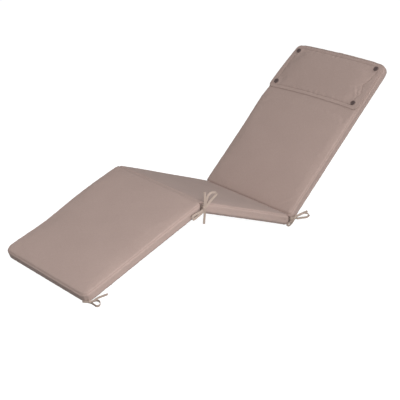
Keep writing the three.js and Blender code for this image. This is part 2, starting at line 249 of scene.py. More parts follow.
def smooth_route(runs):
    """Evenly spaced places on a curve through the runs' points, and the tape's width direction at each."""
    places = [Vector(place) for _, run in runs for place in run]
    broads = [broad for broad, run in runs for _ in run]
    dense, dense_broads = [], []
    for i in range(len(places) - 1):
        before, start = places[max(i - 1, 0)], places[i]
        end, after = places[i + 1], places[min(i + 2, len(places) - 1)]
        tangent_start, tangent_end = (end - before) / 2, (after - start) / 2
        for step in range(steps_between_points):
            t = step / steps_between_points
            dense.append(
                start * (2 * t**3 - 3 * t**2 + 1) + tangent_start * (t**3 - 2 * t**2 + t)
                + end * (3 * t**2 - 2 * t**3) + tangent_end * (t**3 - t**2)
            )
            dense_broads.append(broads[i].lerp(broads[i + 1], t))
    dense.append(places[-1])
    dense_broads.append(broads[-1])
    steps = [(after - before).length for before, after in zip(dense, dense[1:])]
    travelled = np.concatenate([[0], np.cumsum(steps)])
    wanted = np.linspace(0, travelled[-1], max(8, round(travelled[-1] / tape_step)))
    return read_off(travelled, dense, wanted), read_off(travelled, dense_broads, wanted), wanted


def new_piece(name, mesh):
    piece = bpy.data.objects.new(name, mesh)
    bpy.context.scene.collection.objects.link(piece)
    mesh.polygons.foreach_set("use_smooth", [True] * len(mesh.polygons))
    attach(piece, "root")
    return piece


def lay_tape(name, runs):
    path, broads, travelled = smooth_route(runs)
    across_faces = 4
    bm = bmesh.new()
    bmesh.ops.create_grid(bm, x_segments=len(path) - 1, y_segments=across_faces, size=1)
    along_layer = bm.verts.layers.float.new("along")
    across_layer = bm.verts.layers.float.new("across")
    for vert in bm.verts:
        step = round((vert.co.x + 1) / 2 * (len(path) - 1))
        share = vert.co.y
        ahead_of = path[min(step + 1, len(path) - 1)] - path[max(step - 1, 0)]
        ahead_of.normalize()
        broad = broads[step] - ahead_of * broads[step].dot(ahead_of)
        vert.co = path[step] + broad.normalized() * share * tape_width / 2
        vert[along_layer] = travelled[step]
        vert[across_layer] = share * tape_width / 2
    mesh = bpy.data.meshes.new(name)
    bm.to_mesh(mesh)
    bm.free()
    piece = new_piece(name, mesh)
    wall = piece.modifiers.new("tape thickness", "SOLIDIFY")
    wall.thickness = tape_thickness
    wall.offset = 0
    soft = piece.modifiers.new("soft selvedge", "BEVEL")
    soft.width = 0.0004
    soft.segments = 2
    return piece, path, travelled[-1]


tape_pieces = {name: lay_tape(name, runs) for name, runs in tapes.items()}
for name, (_, _, length) in tape_pieces.items():
    print(name, "is", round(length * 1000), "mm long")

# %% [markdown]
# A bow's knot is a short wrap of the same tape round the middle. It is a small sphere, squeezed to the
# knot's size, with two raised turns of tape pressed into it. The foot knot also holds the short end that
# points to the toe of the cushion.

# %% Wrap the knots
knots = {
    "knee_knot": {"centre": (0.249, -0.2392, 0.203), "half": (0.0055, 0.0075, 0.008), "node": "knee_tie"},
    "hip_knot": {"centre": (0.248, 0.2259, 0.0315), "half": (0.0055, 0.008, 0.007), "node": "hip_tie"},
    "foot_knot": {"centre": (0.2403, -0.7329, 0.0083), "half": (0.0055, 0.006, 0.006), "node": "foot_tie"},
}
knot_core = 0.9
knot_turns = [
    {"y": 0.8, "z": 0.6, "height": 0.16, "reach": 0.28},
    {"y": 0.75, "z": -0.66, "height": 0.128, "reach": 0.24},
]


def wrap_knot(name, centre, half):
    bm = bmesh.new()
    bmesh.ops.create_uvsphere(bm, u_segments=32, v_segments=20, radius=1)
    for vert in bm.verts:
        unit = vert.co.normalized()
        raised = max(
            ridge(unit.y * wrap["y"] + unit.z * wrap["z"], wrap["height"], wrap["reach"])
            for wrap in knot_turns
        )
        vert.co = unit * (knot_core + raised)
        vert.co = Vector([vert.co[k] * half[k] + centre[k] for k in range(3)])
    mesh = bpy.data.meshes.new(name)
    bm.to_mesh(mesh)
    bm.free()
    store(mesh, "along", points_of(mesh)[:, 2])
    store(mesh, "across", points_of(mesh)[:, 1])
    return new_piece(name, mesh)


for name, knot in knots.items():
    knot["piece"] = wrap_knot(name, knot["centre"], knot["half"])
foot_stub, _, _ = lay_tape("foot_tape_stub", [(upright, [
    (0.2393, -0.7354, 0.008), (0.2353, -0.7409, 0.0083),
    (0.2303, -0.7459, 0.0086), (0.2243, -0.7499, 0.0086),
])])
print("knots:", list(knots))

# %% [markdown]
# Each tape belongs to one tie, and the tie's solid is hidden. The knot goes with the longer tape of each
# tie, and together they stand for the tie's solid.

tie_of = {
    "knee_tape_upper": ("knee_tie", ["knee_knot"]),
    "knee_tape_lower": ("knee_tie", []),
    "hip_tape_upper": ("hip_tie", ["hip_knot"]),
    "hip_tape_lower": ("hip_tie", []),
    "foot_tape": ("foot_tie", ["foot_knot", "foot_tape_stub"]),
}
for name, (node, going_with) in tie_of.items():
    piece, path, length = tape_pieces[name]
    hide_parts(node)
    "knot" if name == "hip_tape_lower" else "bare"
print("declared", len(tie_of), "tapes")

# %% [markdown]
# ## The three sections
#
# A boxed section is foam in a sewn cover: a top and a bottom of cloth, and a strip round the side that is
# called the boxing. The foam keeps it in shape, and the cloth lies on it with a little slack. The recipe
# starts from the solid's own mesh, remeshed into small even faces. A cloth simulation with air pressure
# inside and the two seams held lets the cloth settle into slight, real unevenness. Foam keeps a cover
# flatter than air does, so only a share of each point's movement is kept, up to a cap. The back's cover
# is also held where the head pillow lies on it.

# %% Measure where the seams run
def outline_distance(x, y, length, corner_start, corner_end):
    """How far a place stands in from the edge of a rounded rectangle, and how far round its edge it is."""
    from_side = width / 2 - np.abs(x)
    from_end = np.minimum(y, length - y)
    corner = np.where(y < length / 2, corner_start, corner_end)
    over = np.maximum(corner - from_side, 0), np.maximum(corner - from_end, 0)
    plain = np.minimum(from_side, from_end)
    distance = np.where((over[0] > 0) & (over[1] > 0), corner - np.hypot(*over), plain)
    return distance, np.where(from_side < from_end, y, x)


def mark_seams(mesh, section, start, end):
    place = moved(points_of(mesh), section["frame"].inverted())
    inset, run = outline_distance(place[:, 0], place[:, 1], section["length"], start, end)
    for name, drop in (("seam_top", -place[:, 2]), ("seam_low", place[:, 2] + thickness)):
        offset = np.hypot(inset - seam_inset, drop - seam_inset)
        store(mesh, name, np.where(drop > inset, offset, -offset))
    store(mesh, "round", run)
    return place


# %% Remesh a copy of a solid into small even faces
def even_copy(node, name, voxel):
    bm = bmesh.new()
    bm.from_mesh(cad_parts[node].data)
    bmesh.ops.remove_doubles(bm, verts=bm.verts, dist=1e-6)
    mesh = bpy.data.meshes.new(name)
    bm.to_mesh(mesh)
    bm.free()
    piece = new_piece(name, mesh)
    remesh = piece.modifiers.new("even faces", "REMESH")
    remesh.mode = "VOXEL"
    remesh.voxel_size = voxel
    settle(piece)
    bm = bmesh.new()
    bm.from_mesh(piece.data)
    bmesh.ops.smooth_vert(bm, verts=bm.verts, factor=0.5, use_axis_x=True, use_axis_y=True, use_axis_z=True)
    bm.to_mesh(piece.data)
    bm.free()
    return piece


def settle(piece):
    """Applies every modifier of a piece to its mesh."""
    evaluated = piece.evaluated_get(bpy.context.evaluated_depsgraph_get())
    mesh = bpy.data.meshes.new_from_object(evaluated)
    piece.modifiers.clear()
    old = piece.data
    piece.data = mesh
    mesh.name = piece.name
    mesh.polygons.foreach_set("use_smooth", [True] * len(mesh.polygons))
    bpy.data.meshes.remove(old)


# %% Let the cloth settle over the foam
def settle_cloth(piece, held, pressure, slack, share, cap, frames=20):
    """Blows the cover up a little with its held points fixed, and keeps a share of how far it moved."""
    start = points_of(piece.data)
    group = piece.vertex_groups.new(name="held")
    for weight in np.unique(np.round(held, 2)):
        members = np.nonzero(np.round(held, 2) == weight)[0].tolist()
        group.add(members, float(weight), "REPLACE")
    cloth = piece.modifiers.new("cover", "CLOTH")
    cloth.settings.quality = 4
    cloth.settings.mass = 0.25
    cloth.settings.tension_stiffness = 12
    cloth.settings.compression_stiffness = 12
    cloth.settings.bending_stiffness = 0.6
    cloth.settings.use_pressure = True
    cloth.settings.uniform_pressure_force = pressure
    cloth.settings.shrink_min = -slack
    cloth.settings.effector_weights.gravity = 0
    cloth.settings.vertex_group_mass = "held"
    cloth.collision_settings.use_collision = False
    cloth.collision_settings.use_self_collision = False
    cloth.point_cache.frame_start = 1
    cloth.point_cache.frame_end = frames
    for number in range(1, frames + 1):
        bpy.context.scene.frame_set(number)
    settle(piece)
    bpy.context.scene.frame_set(1)
    shift = (points_of(piece.data) - start) * share
    reach = np.linalg.norm(shift, axis=1)
    shift *= (np.minimum(reach, cap) / np.maximum(reach, 1e-9))[:, None]
    set_points(piece.data, start + shift)
    most = min(float(reach.max()), cap)
    print(piece.name, "settled by up to", round(most * 1000, 1), "mm")


# %% Make the leg, seat and back covers
voxels = {"leg_panel": 0.006, "seat_panel": 0.006, "back_panel": 0.007}
corner_rolls = {
    "leg_panel": (0.030, 0.015),
    "seat_panel": (0.015, 0.015),
    "back_panel": (0.015, 0.034),
}
held_beside_seam = 0.012
floor_contact = 0.0015
pillow_start = 0.483


def under_pillow(place):
    """1 on the top face where the pillow lies, fading out from 10 to 40 mm below its lower edge."""
    fading = np.clip((place[:, 1] - pillow_start + 0.040) / 0.030, 0, 1)
    return fading * (place[:, 2] > -0.01)


covers = {}
for node, section in sections.items():
    cover = even_copy(node, node.replace("panel", "cover"), voxels[node])
    place = mark_seams(cover.data, section, *corner_rolls[node])
    from_top, from_low = (np.abs(recall(cover.data, seam)) for seam in ("seam_top", "seam_low"))
    held = np.clip(1 - np.minimum(from_top, from_low) / held_beside_seam, 0, 1)
    on_floor = points_of(cover.data)[:, 2] < floor_contact
    held = np.where(on_floor, 1, held)
    if node == "back_panel":
        held = np.maximum(held, under_pillow(place))
    settle_cloth(cover, held, pressure=4, slack=0.012, share=0.4, cap=0.0025)
    covers[node] = cover
    print(cover.name, "has", len(cover.data.vertices), "points")

# %% [markdown]
# The cover is then subdivided once, and the small folds that the simulation is too coarse for are pressed
# in: fine gathers along both seams, where the boxing is eased round the foam, a crease in each seam, and
# the short folds that the ties pull in beside the knee, the hip and the foot.

# %% Press in the seams and gathers
def subdivided(piece, levels=1):
    soft = piece.modifiers.new("rounder", "SUBSURF")
    soft.levels = levels
    soft.render_levels = levels
    settle(piece)


seam_crease = {"height": -0.0009, "reach": 0.0022}
seam_roll = {"height": 0.0008, "reach": 0.0032, "beside": 0.0055}
seam_gathers = {"height": 0.00022, "reach": 0.011}


def gather(piece, section, ties):
    mesh = piece.data
    place = moved(points_of(mesh), section["frame"].inverted())
    top, low, run = (recall(mesh, name) for name in ("seam_top", "seam_low", "round"))
    rise = np.zeros(len(place))
    for offset in (top, low):
        rise += ridge(offset, **seam_crease) + ridge(np.abs(offset), **seam_roll)
        ripple = np.sin(run / 0.0052 + 2.1 * np.sin(run / 0.031)) + 0.6 * np.sin(run / 0.0087 + 1.3)
        rise += ripple * ridge(offset, **seam_gathers)
    for tie in ties:
        away = place - np.array(tie["at"])
        reach = np.linalg.norm(away, axis=1)
        angle = np.arctan2(away[:, 2], away[:, 1])
        fold = np.sin(angle * tie["folds"] + 0.6) * ridge(reach, tie["rise"], tie["reach"])
        rise += fold * np.clip(reach / bow_radius, 0, 1)
    points = points_of(mesh) + normals_of(mesh) * rise[:, None]
    points[:, 2] = np.maximum(points[:, 2], 0)
    set_points(mesh, points)


bow_radius = 0.008
tie_pulls = {
    "leg_panel": [
        {"at": (0.24, 0.545, -0.02), "folds": 7, "reach": 0.045, "rise": 0.0012},
        {"at": (0.235, 0.012, -0.035), "folds": 6, "reach": 0.03, "rise": 0.001},
    ],
    "seat_panel": [
        {"at": (0.24, 0.003, -0.02), "folds": 7, "reach": 0.045, "rise": 0.0012},
        {"at": (0.24, 0.479, -0.02), "folds": 7, "reach": 0.04, "rise": 0.0012},
    ],
    "back_panel": [
        {"at": (0.24, 0.003, -0.02), "folds": 7, "reach": 0.045, "rise": 0.0012},
    ],
}
for node, cover in covers.items():
    subdivided(cover)
    gather(cover, sections[node], tie_pulls[node])
    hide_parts(node)
    print(cover.name, "finished with", len(cover.data.polygons), "faces")

# %% [markdown]
# ## The hinges
#
# At the knee and the hip the covers are sewn to a narrow strip of the same cloth. From above it shows as
# a soft line between two rolled edges. The strip is a grid laid across the cushion, as deep as the solid
# strip, that flares into a bead where the two rolls leave a groove.

# %% Sew in the hinge strips
strip_half = 0.0008
strip_taper = 0.010
strip_end_gap = 0.004
bead_depth = 0.007
bead_steps = 6


def strip_profile(depth, flare):
    """Half the strip's thickness by share of its depth: a thin neck with a rounded bead on top."""
    bead = bead_depth / depth
    profile = [(strip_half, 0.0), (strip_half, 0.4), (strip_half, 1 - 1.6 * bead)]
    for step in range(bead_steps + 1):
        angle = math.pi / 2 * step / bead_steps
        half = strip_half + (flare - strip_half) * math.sin(angle)
        profile.append((half, 1 - bead * (0.8 * math.cos(angle) + 0.2)))
    return [*profile, (flare * 0.8, 1 - 0.08 * bead), (flare * 0.4, 1.0)]


def hinge_strip(name, node, before, after, flare, top):
    """A strip in the mitre between two sections, its bead ending as far below their joint as top says."""
    joint = sections[before]["end"]
    turn = math.radians(sections[before]["tilt"] + sections[after]["tilt"]) / 2
    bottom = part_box(node)[0].z - joint.z
    depth = -top - bottom
    profile = strip_profile(depth, flare)
    rows = profile + [(-half, height) for half, height in reversed(profile)]
    bm = bmesh.new()
    bmesh.ops.create_grid(bm, x_segments=96, y_segments=len(rows) - 1, size=1)
    span = width / 2 - strip_end_gap
    for vert in bm.verts:
        half, height = rows[round((vert.co.y + 1) / 2 * (len(rows) - 1))]
        x = vert.co.x * span
        end_taper = min(1, (span - abs(x)) / strip_taper + 0.25)
        vert.co = Vector((x, half * end_taper, bottom + depth * height))
    edge = [e for e in bm.edges if e.is_boundary]
    bmesh.ops.holes_fill(bm, edges=edge, sides=0)
    bmesh.ops.recalc_face_normals(bm, faces=bm.faces)
    mesh = bpy.data.meshes.new(name)
    bm.to_mesh(mesh)
    bm.free()
    lean = Matrix.Rotation(turn, 3, "X")
    points = moved(points_of(mesh), Matrix.Translation(joint) @ lean.to_4x4())
    set_points(mesh, points)
    piece = new_piece(name, mesh)
    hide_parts(node)
    return piece


knee = hinge_strip("knee_strip", "knee_hinge", "leg_panel", "seat_panel", flare=0.0046, top=0.0046)
hip = hinge_strip("hip_strip", "hip_hinge", "seat_panel", "back_panel", flare=0.0042, top=0.0038)
print("hinge strips:", knee.name, hip.name)

# %% [markdown]
# ## The head pillow
#
# The pillow is a flat bag: two sheets sewn together 14 to 24 mm inside their edge, with a thin fill. It is
# made from one grid, thickened by the solidify operator, and shaped in its own frame: first its outline,
# then the fill, then the stitched line with the small puckers that the thread draws in. The stitching on
# the tied side wanders, as it does where the fill is pushed against it.

# %% Shape the pillow's outline
pillow_length = 0.218
pillow_border = 0.0026
pillow_turn = math.radians(1.1)
solid_gap = 0.0003
pillow_frame = (
    sections["back_panel"]["frame"]
    @ Matrix.Translation((0, pillow_start, solid_gap + pillow_border))
    @ Matrix.Rotation(pillow_turn, 4, "Z")
)
pillow_corner = 0.020
border_width = {"side": 0.024, "low": 0.016, "head": 0.014}
near_pull = {"low": 0.005, "more": -0.006}
far_pull = {"low": 0.0036, "more": 0.0239, "power": 1.5}
end_bow = {"low": 0.008, "head": 0.004}
studs = {
    "stud_near_low": (0.203, 0.028),
    "stud_near_top": (0.2105, 0.1945),
    "stud_far_low": (-0.2085, 0.0315),
    "stud_far_top": (-0.1935, 0.1905),
}
near_stitching = {
    "along": [0.0, 0.030, 0.0496, 0.072, 0.0893, 0.1127, 0.1352, 0.1704, 0.200, 0.218],
    "across": [0.212, 0.200, 0.2041, 0.2161, 0.2084, 0.1998, 0.2118, 0.2226, 0.2210, 0.222],
}


def in_outline(x, y):
    """Bends a rectangle's place into the pillow's outline: rounded corners, drawn-in sides, bowed ends."""
    from_side = width / 2 - np.abs(x)
    from_end = np.minimum(y, pillow_length - y)
    u = np.clip(pillow_corner - from_side, 0, None)
    v = np.clip(pillow_corner - from_end, 0, None)
    squeeze = np.where((u > 0) & (v > 0), np.maximum(u, v) / np.maximum(np.hypot(u, v), 1e-9), 1)
    new_x = np.sign(x) * (np.abs(x) + u * (squeeze - 1))
    new_y = np.where(y < pillow_length / 2, y - v * (squeeze - 1), y + v * (squeeze - 1))
    share = np.clip(new_y / pillow_length, 0, 1)
    near = near_pull["low"] + near_pull["more"] * share
    far = far_pull["low"] + far_pull["more"] * share ** far_pull["power"]
    pull = np.where(new_x > 0, near, far)
    new_x = new_x - np.sign(new_x) * pull * np.abs(new_x) / (width / 2)
    bow = 1 - (new_x / (width / 2)) ** 2
    return new_x, new_y + bow * (end_bow["low"] * (1 - share) + end_bow["head"] * share)


def stitch_distance(x, y):
    """How far inside the stitched line a place is, measured on the flat rectangle."""
    near = np.interp(y, near_stitching["along"], near_stitching["across"]) - x
    far = x + width / 2 - border_width["side"]
    low = y - border_width["low"]
    head = pillow_length - border_width["head"] - y
    sides = np.stack([near, far, low, head])
    soft = 0.004
    return -soft * np.log(np.sum(np.exp(-sides / soft), axis=0))


# %% Fill the pillow and stitch it down
pillow_fill = 0.0065
slope_reach = 0.075
fill_starts = 0.0135
fill_slope = 0.045
stud_ring = {"height": 0.0007, "reach": 0.0028, "beside": 0.0140}
stitch_puckers = {"height": 0.0005, "reach": 0.010, "beside": 0.004}
stitch_groove = {"height": -0.0013, "reach": 0.0016}
thin_edge = {"height": -0.0006, "reach": 0.002}
bm = bmesh.new()
bmesh.ops.create_grid(bm, x_segments=140, y_segments=66, size=1)
for vert in bm.verts:
    vert.co = Vector((vert.co.x * width / 2, (vert.co.y + 1) / 2 * pillow_length, 0))
bmesh.ops.solidify(bm, geom=bm.faces[:], thickness=pillow_border)
pillow_mesh = bpy.data.meshes.new("head_cushion")
bm.to_mesh(pillow_mesh)
bm.free()

place = points_of(pillow_mesh)
level = place[:, 2] - place[:, 2].max()
flat_x, flat_y = place[:, 0], place[:, 1]
inside = stitch_distance(flat_x, flat_y)
edge_distance = np.minimum(width / 2 - np.abs(flat_x), np.minimum(flat_y, pillow_length - flat_y))
bent_x, bent_y = in_outline(flat_x, flat_y)
free = np.ones(len(place))
halo = np.zeros(len(place))
for across, along in studs.values():
    away = np.hypot(bent_x - across, bent_y - along)
    free = np.minimum(free, np.clip((away - fill_starts) / fill_slope, 0, 1))
    halo += ridge(away, **stud_ring)
free = free * free * (3 - 2 * free)
fill = pillow_fill * (1 - (1 - np.clip(inside / slope_reach, 0, 1)) ** 2.2) * free
run = np.where(np.abs(flat_x) / width > np.abs(flat_y / pillow_length - 0.5), flat_y, flat_x)
ripple = np.sin(run / 0.0061 + 1.7 * np.sin(run / 0.023)) + 0.5 * np.sin(run / 0.0037 + 0.4)
pucker = ripple * ridge(inside, **stitch_puckers)
stitching = ridge(inside, **stitch_groove)
rim = ridge(edge_distance, **thin_edge)
top_side = level > -pillow_border / 2
rise = np.where(top_side, fill + pucker + stitching + halo + rim, 0)
set_points(pillow_mesh, np.stack([bent_x, bent_y, level + rise], axis=1))
store(pillow_mesh, "stitch", inside)
store(pillow_mesh, "round", run)
store(pillow_mesh, "edge", edge_distance)
head_cushion = new_piece("head_cushion", pillow_mesh)
print("pillow stands", round(float((level + rise).max()) * 1000, 1), "mm over its border")

# %% [markdown]
# The photo shows a few soft creases that run from the stitching beside the lower stud, and shallow dents
# near the far studs. Each is a short ridge or dent given by its two ends, its width and its height.

# %% Press the pillow's own creases in
creases = [
    {"from": (0.196, 0.055), "to": (0.170, 0.098), "wide": 0.0045, "rise": 0.0013},
    {"from": (0.206, 0.052), "to": (0.196, 0.092), "wide": 0.0040, "rise": 0.0014},
    {"from": (0.202, 0.056), "to": (0.184, 0.094), "wide": 0.0050, "rise": -0.0014},
    {"from": (0.196, 0.108), "to": (0.160, 0.090), "wide": 0.0070, "rise": -0.0010},
    {"from": (-0.190, 0.045), "to": (-0.150, 0.075), "wide": 0.0070, "rise": -0.0010},
    {"from": (-0.180, 0.180), "to": (-0.140, 0.165), "wide": 0.0080, "rise": -0.0010},
    {"from": (0.190, 0.186), "to": (0.150, 0.170), "wide": 0.0080, "rise": -0.0010},
]


def crease_rise(x, y, crease):
    start, end = np.array(crease["from"]), np.array(crease["to"])
    line = end - start
    share = np.clip(((x - start[0]) * line[0] + (y - start[1]) * line[1]) / line.dot(line), 0, 1)
    off = np.hypot(x - start[0] - share * line[0], y - start[1] - share * line[1])
    return ridge(off, crease["rise"], crease["wide"]) * np.sin(math.pi * (0.12 + 0.76 * share))


points = points_of(pillow_mesh)
rise = sum(crease_rise(points[:, 0], points[:, 1], crease) for crease in creases)
points[:, 2] += np.where(top_side, rise, 0)
set_points(pillow_mesh, moved(points, pillow_frame))
subdivided(head_cushion)
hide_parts("head_pillow")
print("pillow finished with", len(head_cushion.data.polygons), "faces")

# %% [markdown]
# ## The press studs
#
# A stud's cap is a thin pressed disc with a rolled rim and a shallow dished middle. Its profile is spun
# round an axis, and it sits on the pillow's border where the solid cap is.

# %% Spin the stud caps
cap_profile = [
    (0.0, 0.0021), (0.0031, 0.0021), (0.0052, 0.0024), (0.0068, 0.0031), (0.0082, 0.0033),
    (0.0093, 0.0028), (0.0100, 0.0017), (0.0100, 0.0007), (0.0091, 0.0),
]


def stud_cap(name, across, along):
    bm = bmesh.new()
    line = [bm.verts.new((radius, 0, height)) for radius, height in cap_profile]
    edges = [bm.edges.new(pair) for pair in zip(line, line[1:])]
    bmesh.ops.spin(
        bm, geom=line + edges, cent=(0, 0, 0), axis=(0, 0, 1), angle=2 * math.pi,
        steps=40, use_merge=True,
    )
    bmesh.ops.remove_doubles(bm, verts=bm.verts, dist=1e-6)
    bmesh.ops.holes_fill(bm, edges=[e for e in bm.edges if e.is_boundary], sides=0)
    bmesh.ops.recalc_face_normals(bm, faces=bm.faces)
    mesh = bpy.data.meshes.new(name)
    bm.to_mesh(mesh)
    bm.free()
    mesh.transform(pillow_frame @ Matrix.Translation((across, along, solid_gap)))
    piece = new_piece(name, mesh)
    return piece


caps = []
for name, (across, along) in studs.items():
    cap = stud_cap(name.replace("stud", "cap"), across, along)
    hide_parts(name)
    caps.append(cap)
print("stud caps:", len(caps))

# %% [markdown]
# ## Finishes
#
# A finish is written as sums on the shader's values. The small class below wraps one socket, so that an
# expression such as `1 - mask` adds the Math nodes for it, and one method adds any other node.

# %% Write shader sums as Python
class Value:
    def __init__(self, finish, socket):
        self.finish = finish
        self.socket = socket

    def sum(self, operation, *others):
        return self.finish.add("ShaderNodeMath", {"operation": operation}, [self, *others])

    def __add__(self, other):
        return self.sum("ADD", other)

    __radd__ = __add__

    def __sub__(self, other):
        return self.sum("SUBTRACT", other)

    def __rsub__(self, other):
        return self.finish.add("ShaderNodeMath", {"operation": "SUBTRACT"}, [other, self])

    def __mul__(self, other):
        return self.sum("MULTIPLY", other)

    __rmul__ = __mul__

    def __truediv__(self, other):
        return self.sum("DIVIDE", other)


class Finish:
    def __init__(self, name):
        self.material = bpy.data.materials.new(name)
        self.material.use_nodes = True
        self.tree = self.material.node_tree
        self.shader = next(node for node in self.tree.nodes if node.type == "BSDF_PRINCIPLED")

    def add(self, kind, settings=None, inputs=(), output=0):
        node = self.tree.nodes.new(kind)
        for name, value in (settings or {}).items():
            setattr(node, name, value)
        pairs = inputs.items() if isinstance(inputs, dict) else enumerate(inputs)
        for key, value in pairs:
            self.feed(node.inputs[key], value)
        return Value(self, node.outputs[output])

    def feed(self, socket, value):
        if isinstance(value, Value):
            self.tree.links.new(value.socket, socket)
        else:
            socket.default_value = value

    def attribute(self, name):
        return self.add("ShaderNodeAttribute", {"attribute_name": name}, output="Fac")

    def blend(self, share, first, second):
        return self.add(
            "ShaderNodeMix", {"data_type": "RGBA"},
            {0: share, 6: first, 7: second}, output=2,
        )


def hump(offset, half_width):
    """1 on a line, fading to 0 at half_width from it."""
    return (1 - (offset / half_width).sum("ABSOLUTE")).sum("MAXIMUM", 0)


# %% [markdown]
# ### Cover cloth
#
# The cloth is a plain weave of dull polyester: taupe, with threads of slightly different tone, a dry
# surface and almost no gloss. The weave is drawn on a UV map in metres that follows each face of the
# cover, so the threads run along and across the cushion on every side.

# %% Lay a weave map on the cloth pieces
def lay_weave(piece, matrix):
    """A UV map in metres: each face takes the two directions of its section's frame that it lies along."""
    mesh = piece.data
    place = moved(points_of(mesh), matrix.inverted())
    turn = np.array(matrix.to_3x3().inverted(), float)
    flat = np.empty(len(mesh.polygons) * 3, np.float32)
    mesh.polygons.foreach_get("normal", flat)
    facing_axis = np.abs(flat.reshape(-1, 3) @ turn.T).argmax(axis=1)
    totals = np.empty(len(mesh.polygons), np.int32)
    mesh.polygons.foreach_get("loop_total", totals)
    corner_axis = np.repeat(facing_axis, totals)
    corner_vert = np.empty(len(mesh.loops), np.int32)
    mesh.loops.foreach_get("vertex_index", corner_vert)
    first = np.array([1, 0, 0])[corner_axis]
    second = np.array([2, 2, 1])[corner_axis]
    corners = place[corner_vert]
    rows = np.arange(len(corners))
    uv = np.stack([corners[rows, first], corners[rows, second]], axis=1)
    layer = mesh.uv_layers.get("weave") or mesh.uv_layers.new(name="weave")
    layer.data.foreach_set("uv", uv.astype(np.float32).ravel())


for node, cover in covers.items():
    lay_weave(cover, sections[node]["frame"])
lay_weave(head_cushion, pillow_frame)
lay_weave(knee, sections["leg_panel"]["frame"])
lay_weave(hip, sections["back_panel"]["frame"])
print("weave maps laid")

# %% Weave the cloth
def woven(along, across, pitch):
    """Height of a plain weave: threads along and across take turns to lie on top."""
    u = along * (math.pi / pitch)
    v = across * (math.pi / pitch)
    warp = u.sum("SINE").sum("ABSOLUTE")
    weft = v.sum("SINE").sum("ABSOLUTE")
    over = (u / 2).sum("SINE") * (v / 2).sum("SINE")
    share = (over * 6 + 0.5).sum("MINIMUM", 1).sum("MAXIMUM", 0)
    return warp * share + weft * (1 - share)


thread_pitch = 0.0009
cloth_dark = (0.330, 0.242, 0.212, 1)
cloth_light = (0.463, 0.348, 0.311, 1)
# The seam tone is painted shade in the seam creases; the other tones are the cloth's own.
tone_of = {"slubs": 0.55, "cross_slubs": 0.45, "weave": 0.18, "clouds": 0.30, "seam": -0.8}
relief_of = {"weave": 0.6, "slubs": 0.4, "seam": -2.2}


def stretched_noise(finish, map_place, scale):
    """Noise drawn out along one direction of the weave, as threads of uneven thickness are."""
    stretched = finish.add("ShaderNodeMapping", {}, {"Vector": map_place, "Scale": scale})
    return finish.add("ShaderNodeTexNoise", {}, {"Vector": stretched, "Scale": 1.0, "Detail": 2.0})


def cloth_finish(name, seams):
    """The cover cloth, pressed in along the seams and with painted shade in each seam's crease, each seam
    given with its line's half width.
    """
    finish = Finish(name)
    map_place = finish.add("ShaderNodeUVMap", {"uv_map": "weave"})
    parts = finish.add("ShaderNodeSeparateXYZ", inputs=[map_place])
    along = parts
    across = Value(finish, parts.socket.node.outputs[1])
    object_place = finish.add("ShaderNodeTexCoord", output="Object")
    weave = woven(along, across, thread_pitch)
    slubs = stretched_noise(finish, map_place, (900, 90, 1))
    cross_slubs = stretched_noise(finish, map_place, (90, 900, 1))
    clouds = finish.add("ShaderNodeTexNoise", {}, {"Vector": object_place, "Scale": 9.0, "Detail": 3.0})
    tone = (
        0.5
        + (slubs - 0.5) * tone_of["slubs"]
        + (cross_slubs - 0.5) * tone_of["cross_slubs"]
        + (weave - 0.6) * tone_of["weave"]
        + (clouds - 0.5) * tone_of["clouds"]
    )
    line = None
    for seam, half_width in seams:
        mark = hump(finish.attribute(seam), half_width)
        line = mark if line is None else line.sum("MAXIMUM", mark)
    if line is not None:
        # The seam line darkens the cloth as painted shade in the seam's crease.
        tone = tone + line * tone_of["seam"]
    tone = tone.sum("MAXIMUM", 0).sum("MINIMUM", 1)
    colour = finish.blend(tone, cloth_dark, cloth_light)
    finish.feed(finish.shader.inputs["Base Color"], colour)
    finish.feed(finish.shader.inputs["Roughness"], 0.84 + (slubs - 0.5) * 0.12)
    height = weave * relief_of["weave"] + slubs * relief_of["slubs"]
    if line is not None:
        height = height + line * relief_of["seam"]
    bump = finish.add(
        "ShaderNodeBump", {}, {"Strength": 0.35, "Distance": 0.0003, "Height": height},
    )
    finish.feed(finish.shader.inputs["Normal"], bump)
    finish.shader.inputs["Sheen Weight"].default_value = 0.06
    finish.shader.inputs["Sheen Roughness"].default_value = 0.5
    finish.shader.inputs["Specular IOR Level"].default_value = 0.25
    return finish.material


# The top and low seams of the covers get a painted dark line of shade in their creases.
section_cloth = cloth_finish("cover cloth", [("seam_top", 0.0014), ("seam_low", 0.0014)])
# On the pillow the stitch line is painted shade in the stitched groove, and the edge line is a painted
# shadow along the pillow's thin edge.
pillow_cloth = cloth_finish("pillow cloth", [("stitch", 0.0024), ("edge", 0.0022)])
strip_cloth = cloth_finish("strip cloth", [])
for cover in covers.values():
    cover.data.materials.clear()
    cover.data.materials.append(section_cloth)
head_cushion.data.materials.clear()
head_cushion.data.materials.append(pillow_cloth)
for strip in (knee, hip):
    strip.data.materials.append(strip_cloth)
print("cloth finishes made")

# %% [markdown]
# ### Tape
#
# The ties are a narrow woven tape, a shade warmer than the cover. Its ribs run across it, and both edges
# are turned selvedges that catch the light.

